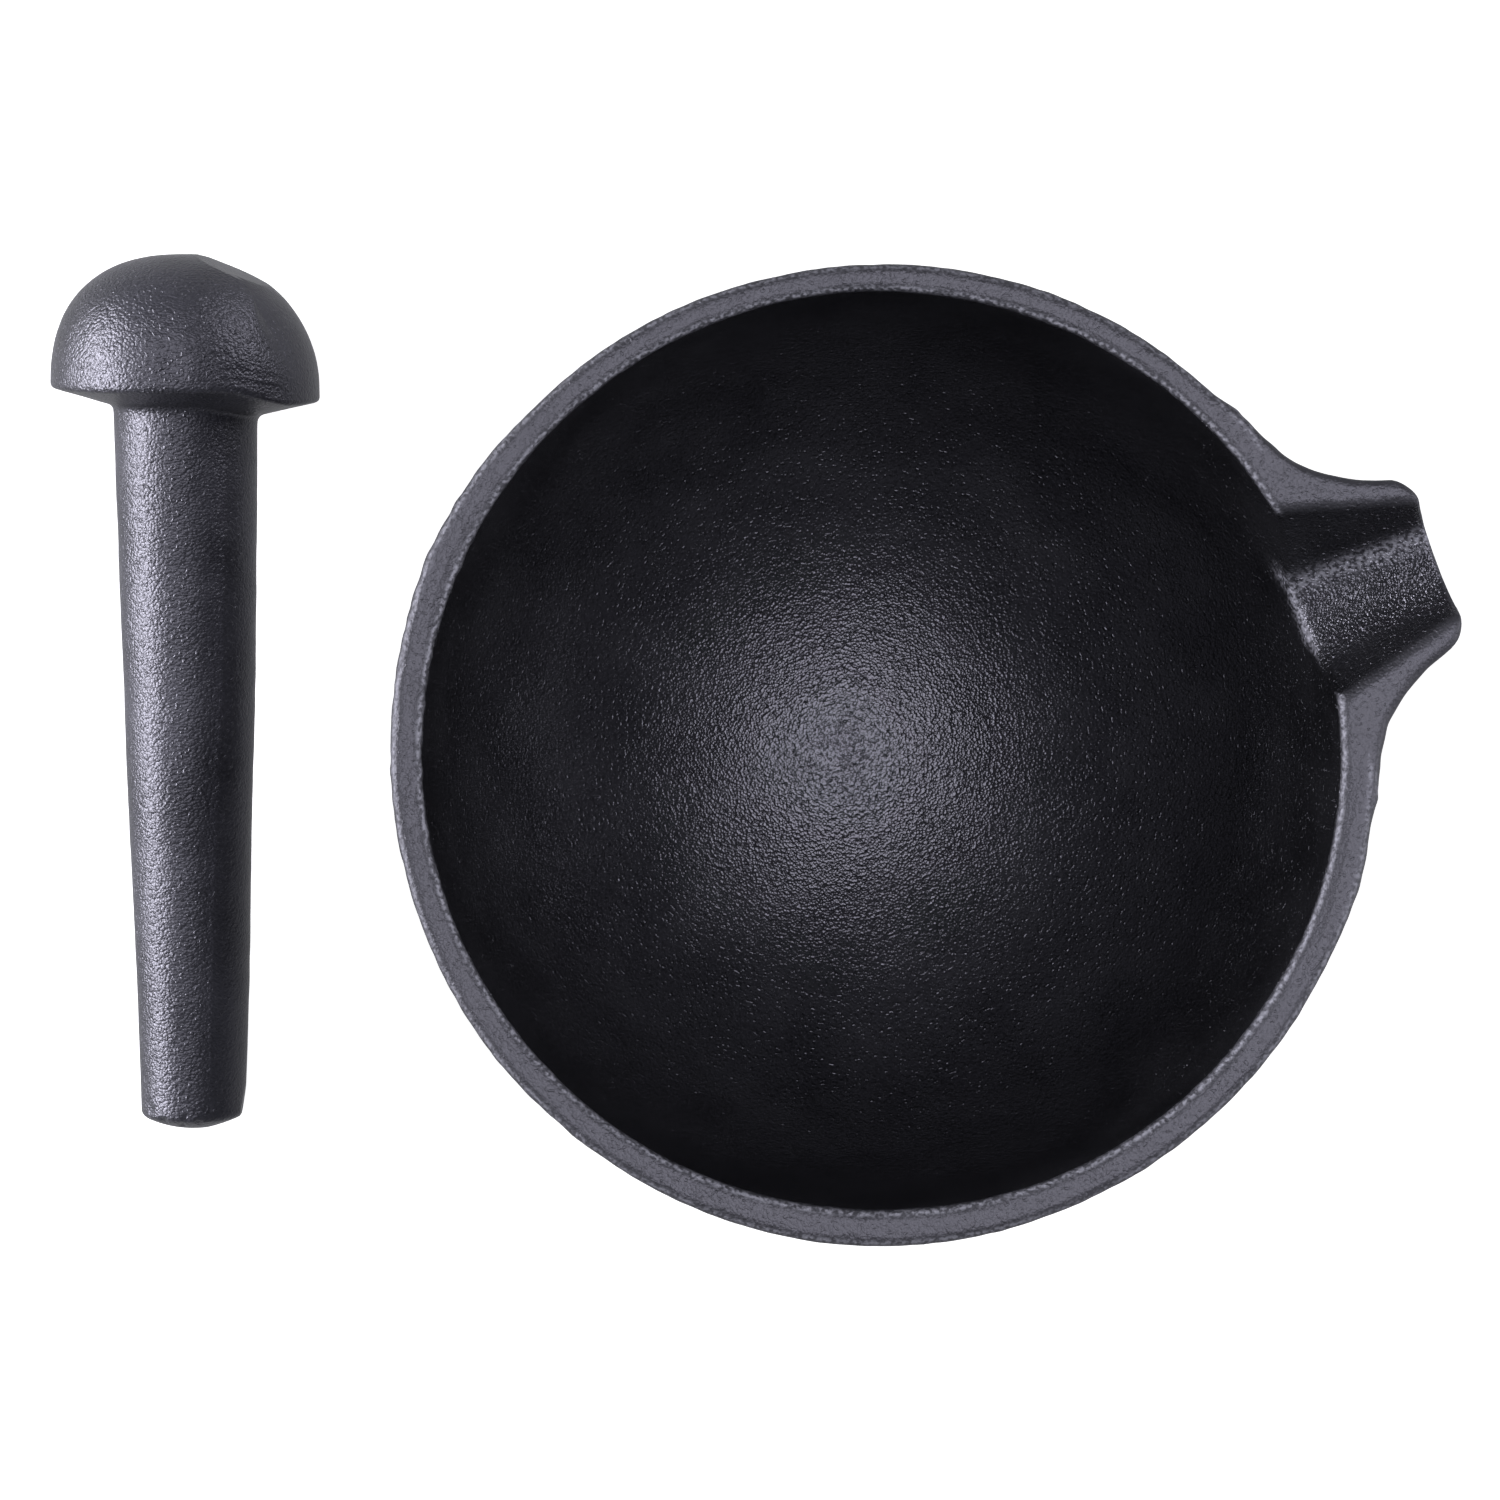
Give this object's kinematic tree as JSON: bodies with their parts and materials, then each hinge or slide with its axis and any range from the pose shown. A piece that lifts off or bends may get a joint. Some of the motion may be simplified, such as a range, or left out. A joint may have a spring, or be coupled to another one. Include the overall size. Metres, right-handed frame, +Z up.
{
  "type": "mortar and pestle",
  "caption": "Cast-iron mortar bowl with a pouring spout and a flat foot, and a mushroom-headed pestle lying beside it.",
  "frame": {"origin": "centre of the mortar's flat foot, on the table", "axes": "+Z up along the bowl's axis, +X away from the pestle, with the spout pointing 19.4 degrees from +X towards +Y, and +Y along the lying pestle towards its head"},
  "size_m": [0.2231, 0.1566, 0.082],
  "materials": {
    "mortar_iron": "black seasoned sand-cast iron, fine grain, satin sheen",
    "pestle_iron": "black seasoned sand-cast iron, coarser grain, satin sheen"
  },
  "bodies": {
    "mortar_body": {"mortar": "mortar_iron"},
    "pestle_body": {"pestle": "pestle_iron"}
  },
  "joints": [
    {"name": "pestle_lift", "type": "slide", "parent": "mortar_body", "child": "pestle_body", "axis": [0, 0, 1], "range_m": [0, 0.12]}
  ]
}
